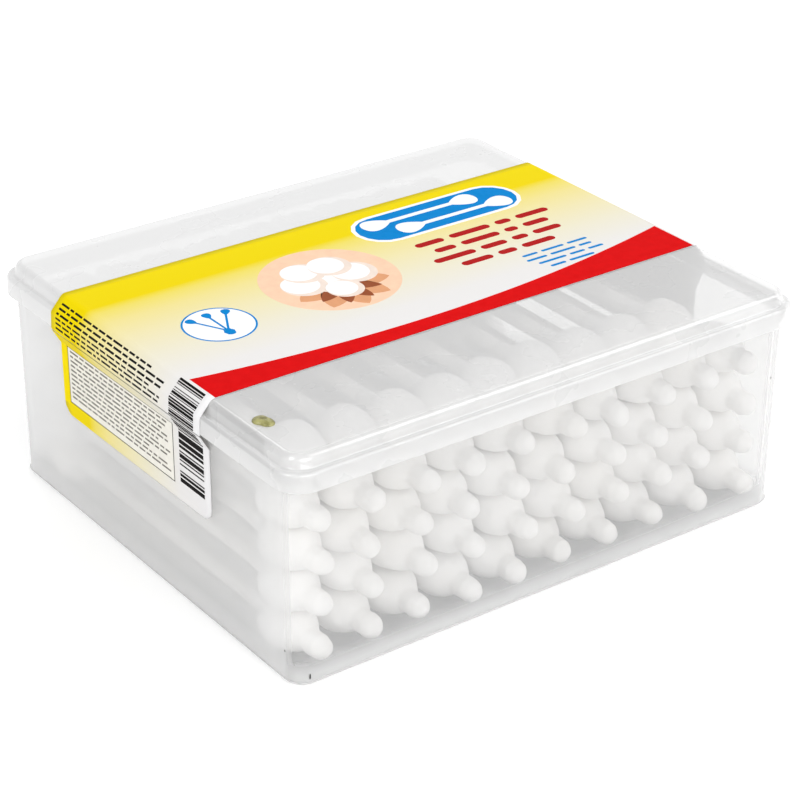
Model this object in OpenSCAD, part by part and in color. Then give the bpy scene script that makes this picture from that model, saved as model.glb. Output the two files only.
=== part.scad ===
// A clear box of cotton swabs with rounded safety heads: a drafted tub, a lid that
// lifts off, a paper label over the lid and down both ends, and the swabs in layers.
// Millimetres. The long front faces -Y, the label's bar strip is at the -X end, +Z is up.
// The origin is at the centre of the tub's underside.

/* [Tub] */
// Outside length of the tub at its underside
tub_len = 92; // [88:0.5:97]
// Thickness of the tub's walls
wall_t = 1; // [0.8:0.05:1.2]
// Thickness of the tub's floor
floor_t = 0.8; // [0.6:0.1:1.2]
// Lean of the walls from upright, in degrees
draft = 0.4; // [0.3:0.1:1.2]
// Plan radius of the tub's upright corners at its underside
corner_r = 3; // [2.5:0.25:5]
// Rounding where the walls turn under
foot_r = 0.8; // [0.4:0.1:1.2]
// Rounding inside, between floor and walls
well_r = 1.2; // [0.8:0.1:2]

/* [Rim flange] */
// How far the flange stands out of the wall
flange_w = 0.4; // [0.35:0.05:0.8]
// Thickness of the flange
flange_t = 0.8; // [0.7:0.1:1.2]
// Distance from the rim down to the flange's upper face
flange_drop = 0.8; // [0.7:0.1:1.6]

/* [Lid] */
// Thickness of the lid's plate and ledge
lid_t = 0.85; // [0.7:0.05:1.2]
// Thickness of the lid's skirt
skirt_t = 0.8; // [0.7:0.05:1.2]
// Clearance between the lid and the tub, all round
lid_gap = 0.2; // [0.15:0.05:0.3]
// Height of the raised top above the ledge
raise = 2; // [1.6:0.1:2.8]
// How far the skirt reaches below the flange
skirt_below = 0.5; // [0.3:0.1:1.5]
// Width of the ledge, from the skirt in to the foot of the raised top
ledge_w = 1.2; // [1:0.1:1.6]
// Lean of the raised top's wall, as a run at its upper end
raised_run = 0.2; // [0.1:0.1:0.4]
// Rounding of the raised top's edge
top_r = 1.2; // [0.8:0.1:1.5]
// Rounding of the skirt's shoulder
shoulder_r = 0.6; // [0.4:0.1:0.7]

/* [Label] */
// Width of the label, from its back edge to its front edge
label_w = 42.4; // [30:0.2:56]
// Place of the label's middle, back from the lid's middle
label_y = 2.4; // [-4:0.2:6]
// Thickness of the label
label_t = 0.15; // [0.1:0.05:0.25]
// Film of glue under the label
glue_t = 0.03; // [0.02:0.01:0.05]
// How far the label reaches down from the skirt's lower edge
label_drop = 14.8; // [8:0.1:20]
// Height of the slanted stretch where the label runs in to the wall
label_slant = 2.8; // [2:0.1:5]
// Slit between the label's lid and tub stretches
slit = 0.3; // [0.2:0.05:0.5]
// Rounding of the label's lower corners
label_r = 2; // [0.5:0.25:4]
// Depth of the red stripe at the label's front edge, where it is narrowest
stripe_w = 3.4; // [2:0.1:6]
// Radius of the stripe's hollow edge
stripe_bow = 225; // [180:5:500]
// Place of the stripe's narrowest point, along the label
stripe_x = -6; // [-20:1:20]
// Depth of the full yellow band at the label's back edge
band_w = 6.5; // [4:0.5:10]
// Diameter of the round badge
badge_d = 11.5; // [8:0.5:16]
// Length of the blue plaque, end to end
plaque_len = 29; // [20:0.5:36]
// Height of the blue plaque
plaque_w = 7.6; // [5:0.2:10]

/* [Swabs] */
// Length of a swab, tip to tip
swab_len = 76.4; // [70:0.2:90]
// Free room at each end of a swab
end_room = 0.55; // [0.4:0.05:4.5]
// Radius of the stick
stick_r = 1.2; // [0.9:0.05:1.4]
// Largest radius of the bulb
bulb_r = 4.1; // [3.7:0.05:4.3]
// Half the length of the bulb
bulb_half = 4.9; // [4.2:0.1:5.6]
// Distance from the tip to the middle of the bulb
bulb_at = 8.2; // [7.8:0.1:10]
// Radius of the nub at the tip
nub_r = 1.85; // [1.5:0.05:2.2]
// Length of the cotton tail behind the bulb
tail_len = 3.2; // [2:0.2:5]
// How far neighbouring layers press each bulb flat, above and below
press = 0.65; // [0.4:0.01:0.9]
// Clearance between swabs, and from swabs to the tub
swab_gap = 0.08; // [0.05:0.01:0.12]
// Least sideways room that a column of swabs needs beside it
col_room = 0.7; // [0.6:0.05:1.5]
// Room between neighbours in the top layer, which lies loose
top_room = 0.33; // [0.2:0.01:0.6]
// Distance from the left wall to the top layer's first swab
top_start = 1.9; // [0.4:0.1:2]
// Layers of swabs
layers = 5; // [4:1:7]
// Free room between the top layer and the lid
head_room = 0.28; // [0.2:0.02:1]
// Swabs already taken from the right end of the top layer
taken = 1; // [0:1:4]

/* [Glue spot] */
// Radius of the larger lobe of the hardened glue spot
spot_r = 1.3; // [0.8:0.1:1.8]
// Height of the glue spot
spot_h = 0.7; // [0.3:0.05:0.9]
// Distance from the glue spot to the left end of the flat top
spot_inset = 1.5; // [1.5:0.1:4]
// Distance from the glue spot to the front edge of the flat top
spot_back = 10.8; // [6:0.2:14]

/* [Hidden] */
corner_n = 6;                      // steps round a plan corner
lean = tan(draft);                 // run of the walls for each millimetre of height
rim_r = 0.15;                      // rounding of the tub's rim and of its flange
lip_r = 0.3;                       // rounding of the skirt's edge and of the ledge's inner corner
crown_r = 0.6;                     // rounding inside the raised top
flare = 0.1;                       // how far the skirt's edge stands out past its shoulder

// Swab layers, each pressed flat against the next, and the tub that holds them
half_pressed = bulb_r - press;
pitch_z = 2 * half_pressed + swab_gap;
first_z = floor_t + swab_gap + half_pressed;
plate_z = first_z + (layers - 1) * pitch_z + bulb_r + head_room;  // underside of the lid's plate
tub_h = plate_z - raise - lid_gap;
tub_dep = swab_len + 2 * (end_room + wall_t);
inner_len = tub_len - 2 * wall_t;
cols = floor((inner_len - 2 * swab_gap) / (2 * bulb_r + col_room));
pitch_x = (inner_len - 2 * bulb_r - 2 * swab_gap) / (cols - 1);
swab_count = cols * layers - taken;
drift = (pitch_x - 2 * bulb_r) * 0.8;  // sideways wander of a layer's middle
jitter = 0.1;                      // sideways wander of a swab below the top layer
sway = 0.28;                       // a swab's own turn, in degrees
play_y = end_room - 3 * swab_gap;  // how far a swab can slide end to end

// Heights and offsets of the rim, the flange and the lid
flange_top = tub_h - flange_drop;
flange_low = flange_top - flange_t;
top_z = plate_z + lid_t;
ledge_z = top_z - raise;
skirt_z = flange_low - skirt_below;
flange_off = flange_top * lean + flange_w;
skirt_in = flange_off + lid_gap;
skirt_off = skirt_in + skirt_t;
foot_off = skirt_off - ledge_w;    // foot of the raised top
brow_off = foot_off - raised_run;  // upper end of the raised top's wall
flat_x = tub_len / 2 + brow_off - top_r;  // ends of the lid's flat top
flat_y = tub_dep / 2 + brow_off - top_r;  // its front and back edges
label_lo = label_y - label_w / 2;
label_hi = label_y + label_w / 2;
label_foot = skirt_z - label_drop;

function swab_name(n) = str("swab_", n < 10 ? "0" : "", n);

// Points along an arc, from angle a0 to angle a1
function arc(x, y, r, a0, a1, steps) =
    [for (i = [0:steps]) let (a = a0 + (a1 - a0) * i / steps) [x + r * cos(a), y + r * sin(a)]];

// The tub's plan outline, offset outward by off at height z
function outline(off, z) =
    let (r = max(corner_r + off, 0.6), hx = tub_len / 2 + off - r, hy = tub_dep / 2 + off - r)
    [for (q = [0:3], p = arc(0, 0, r, 90 * q, 90 * q + 90, corner_n))
        [p[0] + hx * (q == 0 || q == 3 ? 1 : -1), p[1] + hy * (q < 2 ? 1 : -1), z]];

// A shell whose section is a list of [offset, height], carried round the tub's plan outline
module carried(section) {
    per = 4 * (corner_n + 1);
    rings = len(section);
    points = [for (s = section) each outline(s[0], s[1])];
    sides = [for (i = [0:rings - 2], j = [0:per - 1])
        let (a = i * per, b = a + per, k = (j + 1) % per) [a + j, b + j, b + k, a + k]];
    start = [for (j = [0:per - 1]) j];
    end = [for (j = [per - 1:-1:0]) (rings - 1) * per + j];
    polyhedron(points = points, faces = concat([start], sides, [end]));
}

// Tub section: under the foot, up the outside, round the flange and rim, down the inside
function tub_section() =
    let (e = rim_r, in = -wall_t)
    concat(
        arc(-foot_r, foot_r, foot_r, -90, 0, 4),
        [[(flange_low - e) * lean, flange_low - e]],
        arc(flange_off - e, flange_low + e, e, -90, 0, 2),
        arc(flange_off - e, flange_top - e, e, 0, 90, 2),
        [[flange_top * lean + e, flange_top]],
        [[(flange_top + e) * lean, flange_top + e]],
        arc(tub_h * lean - e, tub_h - e, e, 0, 90, 2),
        arc(tub_h * lean + in + e, tub_h - e, e, 90, 180, 2),
        arc(in + well_r + (floor_t + well_r) * lean, floor_t + well_r, well_r, 180, 270, 4)
    );

// Lid section: round the skirt's edge, up its outside, in along the ledge and up to the flat top
function lid_section() =
    let (e = lip_r)
    concat(
        arc(skirt_in + e, skirt_z + e, e, 180, 270, 2),
        arc(skirt_off + flare - e, skirt_z + e, e, -90, 0, 2),
        arc(skirt_off - shoulder_r, ledge_z - shoulder_r, shoulder_r, 0, 80, 4),
        arc(foot_off + e, ledge_z + e, e, -90, -170, 2),
        arc(brow_off - top_r, top_z - top_r, top_r, 10, 90, 5)
    );

// The lid's hollow, from the raised top down to the ledge over the rim, then out to the skirt
function hollow_section() =
    let (low = tub_h + lid_gap, inner = foot_off - lid_t)
    concat(
        [[inner - top_r, plate_z]],
        arc(inner - raised_run - crown_r, plate_z - crown_r, crown_r, 90, 0, 2),
        [[inner, low]],
        arc(skirt_in - lip_r, low - lip_r, lip_r, 90, 0, 2)
    );

module tub() {
    color([0.93, 0.93, 0.93, 0.5]) carried(tub_section());
}

module lid() {
    color([0.95, 0.95, 0.95, 0.5]) carried(concat(hollow_section(), lid_section()));
}

// Angle of the line that touches both the shoulder and the top edge, where the label spans the ledge
function span_angle() =
    let (dx = brow_off - top_r - (skirt_off - shoulder_r),
         dz = top_z - top_r - (ledge_z - shoulder_r))
    atan2(dz, dx) - acos((shoulder_r - top_r) / norm([dx, dz]));

// One side of the label's path over the lid's end, lifted off the lid by h
function over_end(h) =
    let (a = span_angle())
    concat(
        [[skirt_off + flare + h, skirt_z]],
        arc(skirt_off - shoulder_r, ledge_z - shoulder_r, shoulder_r + h, 0, a, 4),
        arc(brow_off - top_r, top_z - top_r, top_r + h, a, 90, 5)
    );

function reversed(list) = [for (i = [len(list) - 1:-1:0]) list[i]];
function outward(path, side) = [for (p = path) [side * (tub_len / 2 + p[0]), p[1]]];

// The label's section over the lid, from the left skirt to the right one
function lid_sheet() =
    let (out = over_end(glue_t + label_t), under = over_end(glue_t))
    concat(outward(out, -1), reversed(outward(out, 1)), outward(under, 1), reversed(outward(under, -1)));

// A section in X and Z, drawn out along Y from y0 to y1
module across(y0, y1) {
    translate([0, y1, 0]) rotate([90, 0, 0]) linear_extrude(y1 - y0) children();
}

// A flat printed shape in the label's sheet on the lid
module printed(x, y) {
    translate([x, y, top_z + glue_t]) linear_extrude(label_t) children();
}

// A bar with round ends
module plaque_shape() {
    r = plaque_w / 2;
    h = plaque_len / 2 - r;
    polygon(concat(arc(h, 0, r, -90, 90, 12), arc(-h, 0, r, 90, 270, 12)));
}

module badge_shape() {
    circle(d = badge_d, $fn = 48);
}

module plaque_place() {
    printed(20.5, label_hi - band_w / 2 - plaque_w / 2 - 1) children();
}

module badge_place() {
    printed(-32, label_y - 1.8) children();
}

// The red stripe on the flat top, from the front edge back to a wide hollow arc
module stripe_shape() {
    depth = 0.6 * label_w;
    difference() {
        translate([-flat_x, label_lo]) square([2 * flat_x, depth]);
        translate([stripe_x, label_lo + stripe_w + stripe_bow]) circle(r = stripe_bow, $fn = 360);
    }
}

// One printed field of the label, between two distances from its back edge
module field(from, to) {
    across(label_hi - to, label_hi - from) polygon(lid_sheet());
}

module label_top() {
    difference() {
        union() {
            color("gold") field(0, band_w);
            color("khaki") field(band_w, 2 * band_w);
            color("ivory") field(2 * band_w, label_w);
        }
        plaque_place() plaque_shape();
        badge_place() badge_shape();
        printed(0, 0) stripe_shape();
    }
    color("red") printed(0, 0) stripe_shape();
    color("royalblue") plaque_place() plaque_shape();
    color("white") badge_place() badge_shape();
}

// The label's section on the tub's end: in from the skirt's edge, then down the wall
function wall_sheet() =
    let (top = skirt_z - slit, bend = skirt_z - label_slant, g = glue_t, h = glue_t + label_t)
    [[skirt_off + g, top], [bend * lean + g, bend], [label_foot * lean + g, label_foot],
     [label_foot * lean + h, label_foot], [bend * lean + h, bend + 0.08], [skirt_off + h, top]];

// The label's outline seen from the end, with round lower corners
module end_outline() {
    r = label_r;
    polygon(concat(
        arc(label_lo + r, label_foot + r, r, 180, 270, 6),
        arc(label_hi - r, label_foot + r, r, 270, 360, 6),
        [[label_hi, skirt_z], [label_lo, skirt_z]]
    ));
}

module label_end(side) {
    reach = tub_len;
    color("ivory") intersection() {
        across(label_lo, label_hi) polygon(outward(wall_sheet(), side));
        rotate([90, 0, 90]) translate([0, 0, -reach]) linear_extrude(2 * reach) end_outline();
    }
}

module label_end_left() label_end(-1);
module label_end_right() label_end(1);

// A drop of hardened glue, two flattened lobes on the lid's flat top
module glue_spot() {
    small = spot_r * 0.85;
    x = spot_inset - flat_x;
    y = spot_back - flat_y;
    color("darkkhaki") intersection() {
        union() {
            lobe(x, y, spot_r);
            lobe(x + spot_r * 0.35, y - spot_r * 0.95, small);
        }
        translate([x, y, top_z + 1]) cube([10, 10, 2], center = true);
    }
}

// A ball that stands out of the lid's top by the spot's height over a circle of radius r
module lobe(x, y, r) {
    ball = (r * r + spot_h * spot_h) / (2 * spot_h);
    translate([x, y, top_z + spot_h - ball]) sphere(r = ball, $fn = 64);
}

// Radius of the cotton at a distance t from the tip: a nub, a bulb and a tail, blended
function nub_at(t) = t < nub_r ? sqrt(max(0, nub_r * nub_r - (nub_r - t) * (nub_r - t))) : nub_r;
function bulb_curve(t) =
    let (u = abs(t - bulb_at) / bulb_half) u < 1 ? bulb_r * sqrt(1 - u * u) : 2 * bulb_r * (1 - u);
function tail_curve(t) =
    let (u = (head_len - t) / (head_len - bulb_at)) stick_r + (nub_r - stick_r) * u * u;
function blend(a, b, k) = let (h = max(k - abs(a - b), 0) / k) max(a, b) + h * h * k / 4;
function head_curve(t) = blend(t < bulb_at ? nub_at(t) : tail_curve(t), bulb_curve(t), 0.9);

head_len = bulb_at + bulb_half + tail_len;
head_n = 20;                       // steps along the head's curve
function head_profile() =
    [for (i = [1:head_n]) let (t = head_len * (1 - cos(90 * i / head_n))) [min(head_curve(t), bulb_r), t]];

// A swab along Y, centred on its stick's middle
module swab_body() {
    half = swab_len / 2;
    head = head_profile();
    near = [for (p = head) [p[0], p[1] - half]];
    far = [for (p = reversed(head)) [p[0], half - p[1]]];
    rotate([-90, 0, 0]) rotate_extrude($fn = 48)
        polygon(concat([[0, -half]], near, far, [[0, half]]));
}

// Small repeatable irregularity between -1 and 1, fading out beside the end walls
function wander(n, seed) = sin(n * 137.5 + seed) * sin(180 * ((n - 1) % cols) / (cols - 1));

module swab(n) {
    col = (n - 1) % cols;
    layer = floor((n - 1) / cols);
    arch = sin(180 * col / (cols - 1)) * (layer % 2 == 0 ? -1 : 1);
    first_x = bulb_r + top_start - inner_len / 2;
    even = (col - (cols - 1) / 2) * pitch_x + drift * arch + jitter * wander(n, 20);
    loose = first_x + col * (2 * bulb_r + top_room);
    x = layer == layers - 1 ? loose : even;
    y = play_y * sin(n * 61 + layer * 40);
    top = layer == layers - 1 ? bulb_r + 1 : half_pressed;
    color("white") translate([x, y, first_z + layer * pitch_z]) intersection() {
        rotate([0, 0, sway * wander(n, 200)]) swab_body();
        translate([-tub_dep, -tub_dep, -half_pressed]) cube([2 * tub_dep, 2 * tub_dep, half_pressed + top]);
    }
}

tub();
lid();
label_top();
label_end_left();
label_end_right();
glue_spot();
for (n = [1:swab_count]) swab(n);
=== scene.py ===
import math
import bpy
import numpy as np
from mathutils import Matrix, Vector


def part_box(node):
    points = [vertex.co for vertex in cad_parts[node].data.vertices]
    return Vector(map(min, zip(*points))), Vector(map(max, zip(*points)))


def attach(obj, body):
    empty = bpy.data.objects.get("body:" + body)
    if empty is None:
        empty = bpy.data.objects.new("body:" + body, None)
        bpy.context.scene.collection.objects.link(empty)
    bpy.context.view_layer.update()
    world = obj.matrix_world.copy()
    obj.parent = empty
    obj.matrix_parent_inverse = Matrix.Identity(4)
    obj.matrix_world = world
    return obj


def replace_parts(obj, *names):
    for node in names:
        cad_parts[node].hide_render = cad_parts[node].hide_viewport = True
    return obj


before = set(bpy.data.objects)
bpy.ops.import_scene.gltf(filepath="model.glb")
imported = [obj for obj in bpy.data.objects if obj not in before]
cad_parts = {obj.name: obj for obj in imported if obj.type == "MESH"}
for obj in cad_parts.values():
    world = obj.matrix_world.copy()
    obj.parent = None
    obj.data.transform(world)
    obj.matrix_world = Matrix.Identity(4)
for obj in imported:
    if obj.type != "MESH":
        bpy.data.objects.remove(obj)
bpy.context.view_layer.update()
mm = 0.001
print("frame loaded:", len(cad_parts), "nodes")

# Plan and section sizes of the tub and the lid, in millimetres
tubSet = {"cornerR": 3.0, "leanDeg": 0.4, "wall": 1.0, "floor": 0.8, "footR": 0.8, "wellR": 1.2, "rimR": 0.15,
          "flangeW": 0.4, "flangeT": 0.8, "flangeDrop": 0.8, "underRun": 0.6, "leastR": 0.6,
          "cornerSteps": 14, "sideSteps": 26}
lidSet = {"plate": 0.85, "skirt": 0.8, "gap": 0.2, "raise": 2.0, "below": 0.5, "ledgeW": 1.2,
          "raisedRun": 0.2, "lipR": 0.3, "crownR": 0.6, "topR": 1.2, "shoulderR": 0.6, "flare": 0.1,
          "browDeg": 10, "shoulderDeg": 84, "topRun": 0.8, "hollowRun": 1}

# Heights and offsets that follow from them and from the frame
lean = math.tan(math.radians(tubSet["leanDeg"]))
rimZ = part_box("tub")[1].z / mm
flangeTop = rimZ - tubSet["flangeDrop"]
flangeLow = flangeTop - tubSet["flangeT"]
flangeOff = flangeTop * lean + tubSet["flangeW"]
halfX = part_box("tub")[1].x / mm - flangeOff
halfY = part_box("tub")[1].y / mm - flangeOff
plateZ = rimZ + lidSet["gap"] + lidSet["raise"]
topZ = plateZ + lidSet["plate"]
ledgeZ = topZ - lidSet["raise"]
skirtZ = flangeLow - lidSet["below"]
skirtIn = flangeOff + lidSet["gap"]
skirtOff = skirtIn + lidSet["skirt"]
footOff = skirtOff - lidSet["ledgeW"]
browOff = footOff - lidSet["raisedRun"]
flatX = halfX + browOff - lidSet["topR"]
flatY = halfY + browOff - lidSet["topR"]


# Points at even angles round a circle: the centre plus the radius times cosine and sine
def arcPoints(x, y, r, a0, a1, steps):
    a = np.radians(np.linspace(a0, a1, steps + 1))
    return np.stack([x + r * np.cos(a), y + r * np.sin(a)], -1)


# Points and runs of points as one run
def joined(*parts):
    return np.concatenate([np.atleast_2d(p) for p in parts])


# A path whose long straight runs get a point close to each end and even points between
def refined(path, longest=3.0, hold=0.25):
    out = [path[:1]]
    for a, b in zip(path[:-1], path[1:]):
        size = np.linalg.norm(b - a)
        t = [1.0]
        if size > 4 * hold:
            t = [*np.linspace(hold / size, 1 - hold / size, 1 + max(1, int(size / longest))), 1.0]
        out.append(a + np.array(t)[:, None] * (b - a))
    return np.concatenate(out)


# The tub's rounded rectangle for each (offset, height) of a section. The corner radius grows with the
# offset, and points are spread along the straight sides too. Gives rings x points x 3.
def outlineRings(section):
    off, z = section[:, 0], section[:, 1]
    r = np.maximum(tubSet["cornerR"] + off, tubSet["leastR"])
    a = np.radians(np.arange(4)[:, None] * 90 + np.linspace(0, 90, tubSet["cornerSteps"] + 1))
    sx = np.array([1, -1, -1, 1])[None, :, None]
    sy = np.array([1, 1, -1, -1])[None, :, None]
    x = (halfX + off - r)[:, None, None] * sx + r[:, None, None] * np.cos(a)
    y = (halfY + off - r)[:, None, None] * sy + r[:, None, None] * np.sin(a)
    corner = np.stack([x, y, np.broadcast_to(z[:, None, None], x.shape)], -1)
    t = np.linspace(0, 1, tubSet["sideSteps"] + 1)[1:-1][:, None]
    last, first = corner[:, :, -1:], np.roll(corner[:, :, :1], -1, axis=1)
    side = last + t * (first - last)
    return np.concatenate([corner, side], 2).reshape(len(section), -1, 3)


# Quads of a rows x cols grid of points, closed round the second direction where wrap is set
def gridFaces(rows, cols, wrap, start=0):
    i = np.arange(rows - 1)[:, None] * cols
    j = np.arange(cols if wrap else cols - 1)[None, :]
    k = (j + 1) % cols
    return np.stack([i + j, i + k, i + cols + k, i + cols + j], -1).reshape(-1, 4) + start


# A mesh object at the origin from points in millimetres, riding on a CAD body
def makeMesh(name, points, faces, body, material, smooth=True):
    mesh = bpy.data.meshes.new(name)
    places = (np.asarray(points).reshape(-1, 3) * mm).tolist()
    mesh.from_pydata(places, [], [list(map(int, f)) for f in faces])
    mesh.polygons.foreach_set("use_smooth", [smooth] * len(mesh.polygons))
    mesh.materials.append(material)
    mesh.update()
    piece = bpy.data.objects.new(name, mesh)
    bpy.context.scene.collection.objects.link(piece)
    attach(piece, body)
    return piece


# A closed skin over rings of points, with a flat cap over the first and the last ring
def skinPiece(name, rings, body, material):
    rows, cols = rings.shape[:2]
    caps = [list(range(cols))[::-1], list(range((rows - 1) * cols, rows * cols))]
    return makeMesh(name, rings, [*gridFaces(rows, cols, True), *caps], body, material)


# A material whose shader's sockets are set by name
def newMaterial(name, **inputs):
    material = bpy.data.materials.new(name)
    material.use_nodes = True
    tree = material.node_tree
    shader = tree.nodes["Principled BSDF"]
    for key, value in inputs.items():
        shader.inputs[key.replace("_", " ")].default_value = value
    return material, tree, shader


# A node of the kind named, with its sockets and settings set by name
def addNode(tree, kind, **settings):
    node = tree.nodes.new(kind)
    for key, value in settings.items():
        if key in node.inputs:
            node.inputs[key].default_value = value
        else:
            setattr(node, key, value)
    return node


# A value carried from one range to another, held inside it
def mapped(tree, value, toRange, fromRange=(0.0, 1.0)):
    node = addNode(tree, "ShaderNodeMapRange")
    for socket, number in zip(("From Min", "From Max", "To Min", "To Max"), (*fromRange, *toRange)):
        node.inputs[socket].default_value = number
    tree.links.new(value, node.inputs["Value"])
    return node.outputs["Result"]


# Two values put together by the operation named, where the second may be a plain number
def combined(tree, operation, first, second):
    node = addNode(tree, "ShaderNodeMath", operation=operation)
    tree.links.new(first, node.inputs[0])
    if isinstance(second, float):
        node.inputs[1].default_value = second
    else:
        tree.links.new(second, node.inputs[1])
    return node.outputs[0]


# The X, Y and Z of object coordinates
def objectPlace(tree):
    place = addNode(tree, "ShaderNodeTexCoord")
    split = addNode(tree, "ShaderNodeSeparateXYZ")
    tree.links.new(place.outputs["Object"], split.inputs[0])
    return split.outputs


# Noise on object coordinates, with the coordinates stretched first
def noiseOn(tree, scale, detail=3.0, stretch=(1, 1, 1)):
    place = addNode(tree, "ShaderNodeTexCoord")
    turn = addNode(tree, "ShaderNodeMapping")
    turn.inputs["Scale"].default_value = stretch
    noise = addNode(tree, "ShaderNodeTexNoise", Scale=scale, Detail=detail)
    tree.links.new(place.outputs["Object"], turn.inputs["Vector"])
    tree.links.new(turn.outputs["Vector"], noise.inputs["Vector"])
    return noise


# Fine relief from a noise, with its depth in metres
def addBump(tree, shader, noise, depth, strength=1.0):
    bump = addNode(tree, "ShaderNodeBump", Strength=strength, Distance=depth)
    tree.links.new(noise.outputs["Fac"], bump.inputs["Height"])
    tree.links.new(bump.outputs["Normal"], shader.inputs["Normal"])


# A colour ramp over a value, from (position, colour) pairs
def addRamp(tree, source, stops):
    ramp = addNode(tree, "ShaderNodeValToRGB")
    while len(ramp.color_ramp.elements) < len(stops):
        ramp.color_ramp.elements.new(0.5)
    for element, (at, colour) in zip(ramp.color_ramp.elements, stops):
        element.position = at
        element.color = (*colour, 1)
    tree.links.new(source, ramp.inputs["Fac"])
    return ramp.outputs["Color"]


# A colour as a screen shows it, 0 to 255, made linear
def shown(red, green, blue):
    c = np.array([red, green, blue]) / 255
    return tuple(float(v) for v in np.where(c < 0.04045, c / 12.92, ((c + 0.055) / 1.055) ** 2.4))


# A range of heights or depths in millimetres, in metres
def metres(pair):
    return tuple(v * mm for v in pair)


# Clear frosted plastic: a share of it is plain see-through, and the rest milky plastic with a clear
# coat. The share falls towards grazing angles, so rims and edges look whiter than flat faces. It also
# falls below a height, and on the lid towards the back. The milky tone changes over the same heights,
# and that change is painted light and shade: the tub is paler low down, painted light over the shade
# at its floor, and the lid is darker below its flat top, on the skirt and ledge, a painted shade against
# the stronger light there. A one-sided plastic is see-through where a ray leaves it, so that its wall counts
# once.
def plasticMaterial(name, look):
    material, tree, shader = newMaterial(
        name, IOR=look["ior"], Transmission_Weight=look["clear"], Specular_IOR_Level=look["specular"],
        Coat_Weight=look["coat"], Coat_IOR=look["coatIor"], Coat_Roughness=look["coatRoughness"])
    haze = noiseOn(tree, look["hazeScale"], 3.0).outputs["Fac"]
    tree.links.new(mapped(tree, haze, look["roughness"]), shader.inputs["Roughness"])
    place = objectPlace(tree)
    # The tone over height is painted light and shade, not a change in the plastic itself
    toneWithPaintedLight = mapped(tree, place["Z"], look["toneWithPaintedLight"], metres(look["hazeAndPaintedLightZ"]))
    tree.links.new(toneWithPaintedLight, shader.inputs["Base Color"])
    facing = addNode(tree, "ShaderNodeLayerWeight", Blend=0.5).outputs["Facing"]
    share = mapped(tree, facing, look["through"], look["facing"])
    level = mapped(tree, place["Z"], (look["hazyShare"], 1.0), metres(look["hazeAndPaintedLightZ"]))
    share = combined(tree, "MULTIPLY", share, level)
    if "backY" in look:
        back = mapped(tree, place["Y"], (1.0, look["backShare"]), metres(look["backY"]))
        share = combined(tree, "MULTIPLY", share, back)
    if look["oneSided"]:
        leaving = addNode(tree, "ShaderNodeNewGeometry").outputs["Backfacing"]
        share = combined(tree, "MAXIMUM", share, leaving)
    through = addNode(tree, "ShaderNodeBsdfTransparent")
    through.inputs["Color"].default_value = (*look["throughColour"], 1)
    mix = addNode(tree, "ShaderNodeMixShader")
    tree.links.new(share, mix.inputs[0])
    tree.links.new(shader.outputs[0], mix.inputs[1])
    tree.links.new(through.outputs[0], mix.inputs[2])
    tree.links.new(mix.outputs[0], tree.nodes["Material Output"].inputs["Surface"])
    return material


# The two plastics: pairs run from the first to the second end of a range, and heights are in millimetres
# The tub's tone is paler near its foot: painted light over the shade at the tub's floor
tubLook = {"toneWithPaintedLight": (0.88, 0.81), "roughness": (0.28, 0.4), "hazeScale": 140.0, "ior": 1.45, "clear": 0.18,
           "specular": 1.0, "coat": 1.0, "coatIor": 1.8, "coatRoughness": 0.05,
           "facing": (0.38, 0.55), "through": (0.76, 0.44), "throughColour": (0.994, 0.994, 0.994),
           "hazeAndPaintedLightZ": (0.5, 4.5), "hazyShare": 0.66, "oneSided": False}
# The lid's tone is darker below the flat top: painted shade against the stronger light on its skirt and ledge
lidLook = {**tubLook, "toneWithPaintedLight": (0.7, 0.815), "roughness": (0.22, 0.34), "hazeScale": 110.0, "clear": 0.0,
           "coatRoughness": 0.035, "facing": (0.38, 0.5), "through": (0.78, 0.34),
           "hazeAndPaintedLightZ": (topZ - 0.03, topZ - 0.002), "hazyShare": 0.42,
           "backY": (2.0, 22.0), "backShare": 0.24, "oneSided": True}
tubPlastic = plasticMaterial("frostedTubPlastic", tubLook)
lidPlastic = plasticMaterial("frostedLidPlastic", lidLook)


# The tub's section: under the foot, up the outside, round the flange and the rim, and down the inside
def tubSection():
    e, wall, foot, well = tubSet["rimR"], tubSet["wall"], tubSet["footR"], tubSet["wellR"]
    return refined(joined(
        (-foot - tubSet["underRun"], 0.0),
        arcPoints(-foot, foot, foot, -90, 0, 7),
        ((flangeLow - e) * lean, flangeLow - e),
        arcPoints(flangeOff - e, flangeLow + e, e, -90, 0, 5),
        arcPoints(flangeOff - e, flangeTop - e, e, 0, 90, 5),
        (flangeTop * lean + e, flangeTop),
        ((flangeTop + e) * lean, flangeTop + e),
        arcPoints(rimZ * lean - e, rimZ - e, e, 0, 90, 5),
        arcPoints(rimZ * lean - wall + e, rimZ - e, e, 90, 180, 5),
        arcPoints(-wall + well + (tubSet["floor"] + well) * lean, tubSet["floor"] + well, well, 180, 270, 8)))


# The lid's section: the plate's underside, the hollow inside, the skirt, and the outside up to the top plate
def lidSection():
    e, low, inner = lidSet["lipR"], rimZ + lidSet["gap"], footOff - lidSet["plate"]
    topR, shoulder, crown, brow = (lidSet[k] for k in ("topR", "shoulderR", "crownR", "browDeg"))
    return refined(joined(
        (inner - topR - lidSet["hollowRun"], plateZ),
        arcPoints(inner - lidSet["raisedRun"] - crown, plateZ - crown, crown, 90, 0, 5),
        (inner, low),
        arcPoints(skirtIn - e, low - e, e, 90, 0, 4),
        arcPoints(skirtIn + e, skirtZ + e, e, 180, 270, 4),
        arcPoints(skirtOff + lidSet["flare"] - e, skirtZ + e, e, -90, 0, 5),
        arcPoints(skirtOff - shoulder, ledgeZ - shoulder, shoulder, 0, lidSet["shoulderDeg"], 8),
        arcPoints(footOff + e, ledgeZ + e, e, -90, brow - 180, 5),
        arcPoints(browOff - topR, topZ - topR, topR, brow, 90, 10),
        (browOff - topR - lidSet["topRun"], topZ)))


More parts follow.
